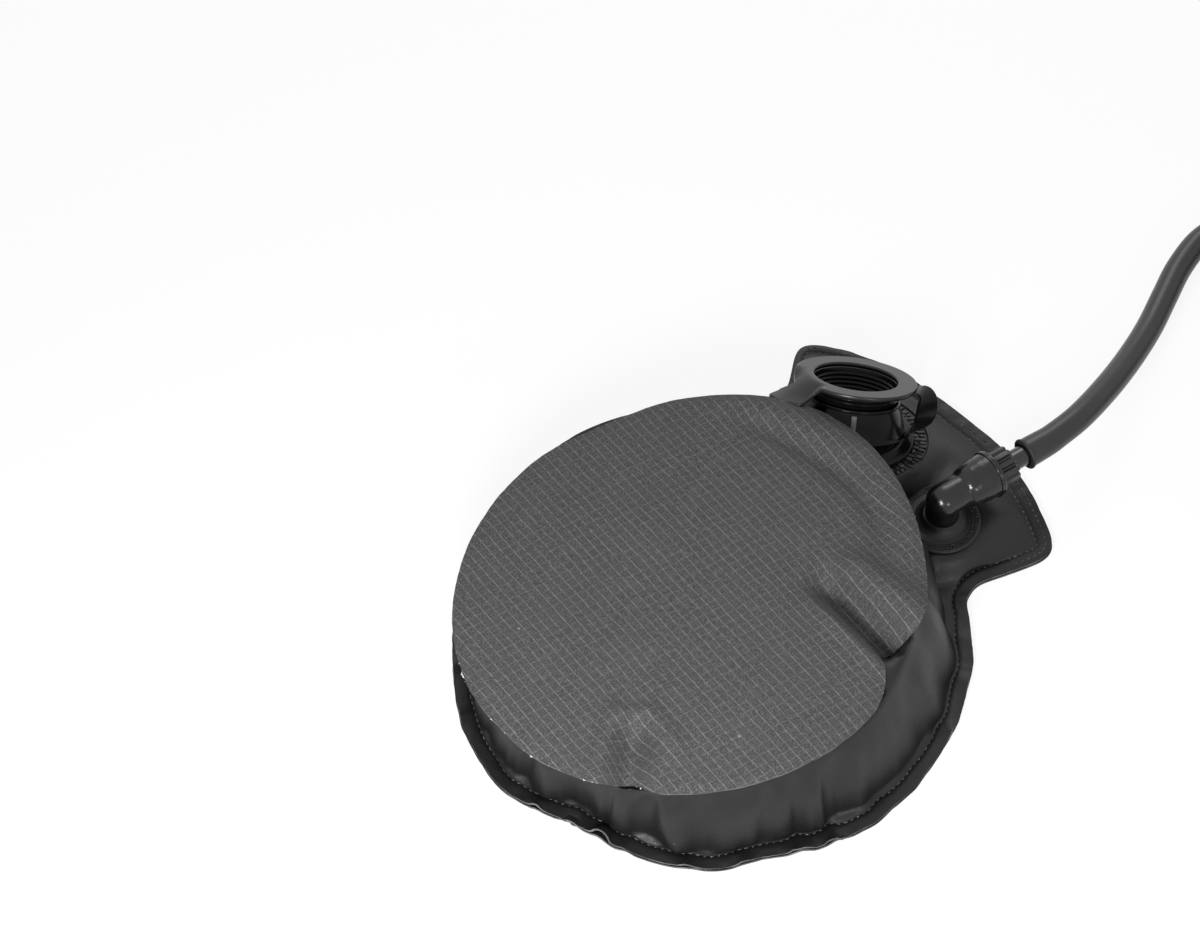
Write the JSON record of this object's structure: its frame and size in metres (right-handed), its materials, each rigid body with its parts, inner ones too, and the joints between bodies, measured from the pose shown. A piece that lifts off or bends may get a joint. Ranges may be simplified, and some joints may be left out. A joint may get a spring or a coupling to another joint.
{
  "type": "foot pump of a portable pressure shower",
  "caption": "Fabric bellows foot pump with a tilted screw-in intake valve, a swivelling outlet elbow and a coiled air hose that pressurises a portable shower's tank.",
  "frame": {"origin": "centre of the round pump's underside, on the floor", "axes": "+Z up, +Y from the round pump along its tail, toward the hose; +X to the right seen from above with +Y up"},
  "size_m": [0.2487, 0.428, 0.043],
  "materials": {
    "coated_fabric": "black coated fabric, satin",
    "ripstop": "dark grey ripstop fabric, matt",
    "foam": "open-cell foam",
    "moulding": "black moulding, satin to glossy",
    "soft_rubber": "black rubber",
    "hose_rubber": "black hose, satin",
    "webbing": "black webbing"
  },
  "bodies": {
    "base": {"base_sheet": "coated_fabric", "bladder_top": "coated_fabric", "foam_core": "foam", "outlet_seat": "moulding"},
    "tread": {"tread_disc": "ripstop"},
    "seat": {"intake_seat": "moulding", "insert_gasket": "soft_rubber", "retainer_strap": "moulding"},
    "retainer": {"retainer_ring": "moulding"},
    "insert": {"valve_insert": "moulding", "flap_pin": "moulding"},
    "flap": {"intake_flap": "soft_rubber"},
    "elbow": {"elbow": "moulding", "elbow_seal": "soft_rubber", "hose_barb": "moulding", "hose_run": "hose_rubber", "hose_coil": "hose_rubber", "hose_tail": "hose_rubber", "coil_tie": "webbing", "tank_nozzle": "moulding", "nozzle_seal": "soft_rubber"},
    "check": {"check_disc": "soft_rubber"},
    "gland": {"gland_washer": "soft_rubber"},
    "gland_nut": {"gland_nut": "moulding"},
    "tank_nut": {"tank_nut": "moulding"}
  },
  "joints": [
    {"name": "pump_stroke", "type": "slide", "parent": "base", "child": "tread", "axis": [0, 0, 1], "range_m": [-0.014, 0], "stiffness_N_per_m": 1500, "deforming": ["bladder_top", "foam_core"]},
    {"name": "seat_tilt", "type": "hinge", "parent": "base", "child": "seat", "pos_m": [-0.03082, 0.10643, 0.00367], "axis": [-0.8192, -0.5736, 0], "range_deg": [-13.1, 0]},
    {"name": "retainer_lift", "type": "slide", "parent": "seat", "child": "retainer", "axis": [-0.3371, 0.4815, 0.809], "range_m": [0, 0.0045]},
    {"name": "insert_turn", "type": "hinge", "parent": "retainer", "child": "insert", "pos_m": [-0.0252, 0.0984, 0.03], "axis": [-0.3371, 0.4815, 0.809], "range_deg": [0, 720]},
    {"name": "flap_open", "type": "slide", "parent": "insert", "child": "flap", "axis": [0.3371, -0.4815, -0.809], "range_m": [0, 0.0012], "stiffness_N_per_m": 40},
    {"name": "elbow_swivel", "type": "hinge", "parent": "base", "child": "elbow", "pos_m": [0.0293, 0.0862, 0.0134], "axis": [0, 0, 1], "range_deg": [-90, 20]},
    {"name": "check_lift", "type": "slide", "parent": "elbow", "child": "check", "axis": [0.1908, 0.9816, 0], "range_m": [0, 0.0015]},
    {"name": "gland_slide", "type": "slide", "parent": "elbow", "child": "gland", "axis": [0.1908, 0.9816, 0], "range_m": [0, 0.003]},
    {"name": "gland_turn", "type": "hinge", "parent": "gland", "child": "gland_nut", "pos_m": [0.0293, 0.0862, 0.022], "axis": [0.1908, 0.9816, 0], "range_deg": [0, 720]},
    {"name": "tank_nut_turn", "type": "hinge", "parent": "elbow", "child": "tank_nut", "pos_m": [0.14863, 0.21067, 0.0068], "axis": [0.0318, -0.9995, 0], "continuous": true}
  ],
  "couplings": [
    {"joint": "seat_tilt", "follows": "pump_stroke", "rad_per_m": 16.2},
    {"joint": "retainer_lift", "follows": "insert_turn", "m_per_rad": 0.00035014},
    {"joint": "gland_turn", "follows": "gland_slide", "rad_per_m": 4188.7}
  ]
}
